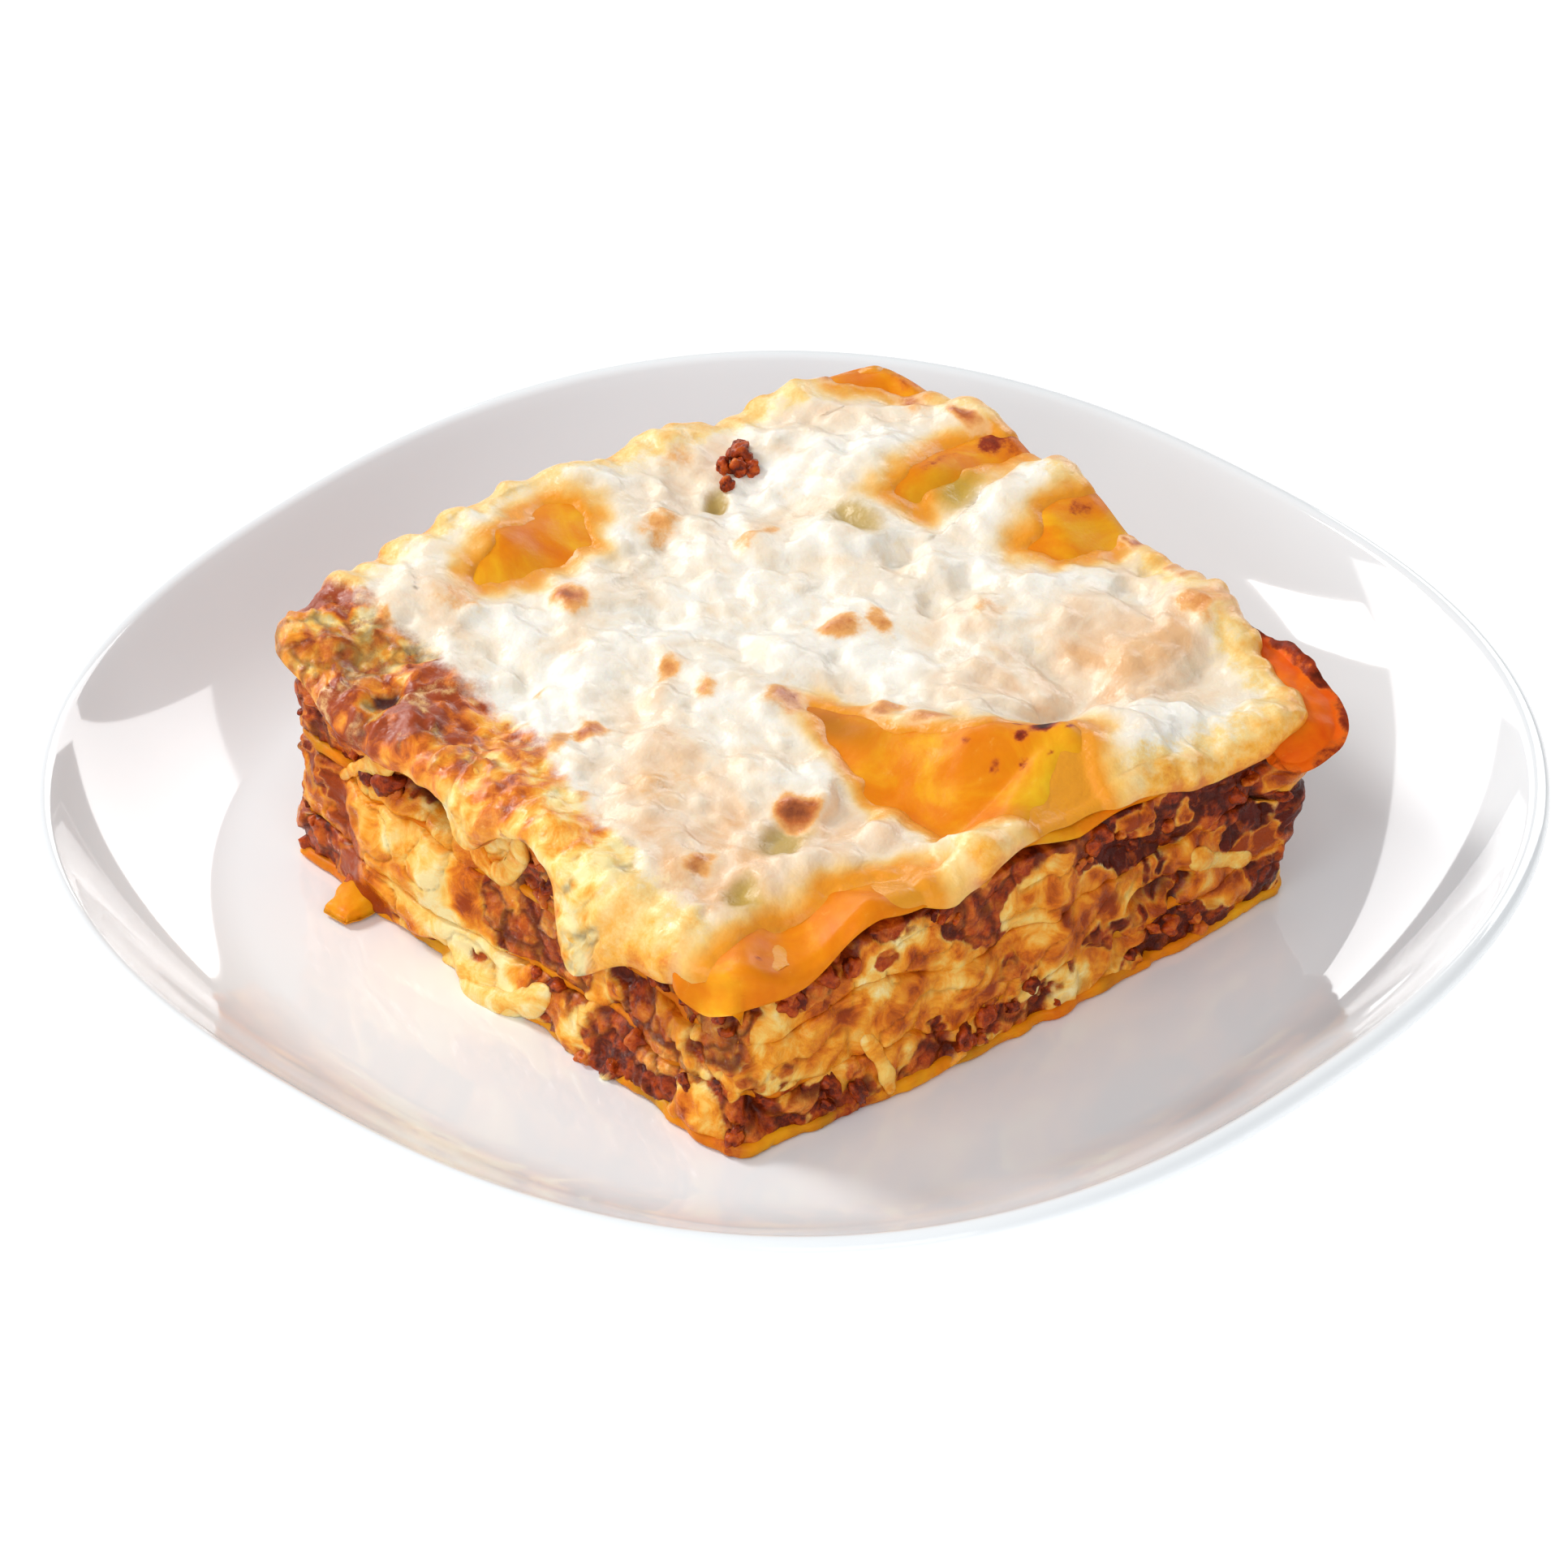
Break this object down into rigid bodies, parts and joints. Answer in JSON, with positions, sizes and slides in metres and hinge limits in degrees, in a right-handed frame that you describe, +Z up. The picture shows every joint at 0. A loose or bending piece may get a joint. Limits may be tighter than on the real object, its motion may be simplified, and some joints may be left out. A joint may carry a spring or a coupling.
{
  "type": "lasagne slice on a plate",
  "caption": "Rectangular slice of baked layered pasta with meat sauce, white sauce and a melted cheese top, lying on a rounded-square coupe plate.",
  "frame": {"origin": "centre of the plate on the table, under its foot ring", "axes": "+Z up; X and Y run to the middles of the plate's sides; the slice's two best cut faces look towards -Y and -X"},
  "size_m": [0.222, 0.222, 0.0529],
  "materials": {
    "porcelain": "white glazed porcelain, glossy",
    "pasta": "soft boiled egg pasta, slightly oily",
    "pasta_baked": "baked egg pasta stained with sauce, charred rim",
    "ragu": "minced meat in an oily tomato sauce, wet and coarse",
    "white_sauce": "creamy white sauce stained yellow, wet",
    "cheese": "melted cheese with browned spots, softly glossy"
  },
  "bodies": {
    "root": {"plate": "porcelain", "pasta_sheet_bottom": "pasta", "ragu_lower": "ragu", "pasta_sheet_second": "pasta", "white_sauce": "white_sauce", "pasta_sheet_third": "pasta", "ragu_upper": "ragu", "pasta_sheet_top": "pasta", "cheese_topping": "cheese", "pasta_flap": "pasta_baked", "pasta_scrap": "pasta_baked"}
  },
  "joints": []
}
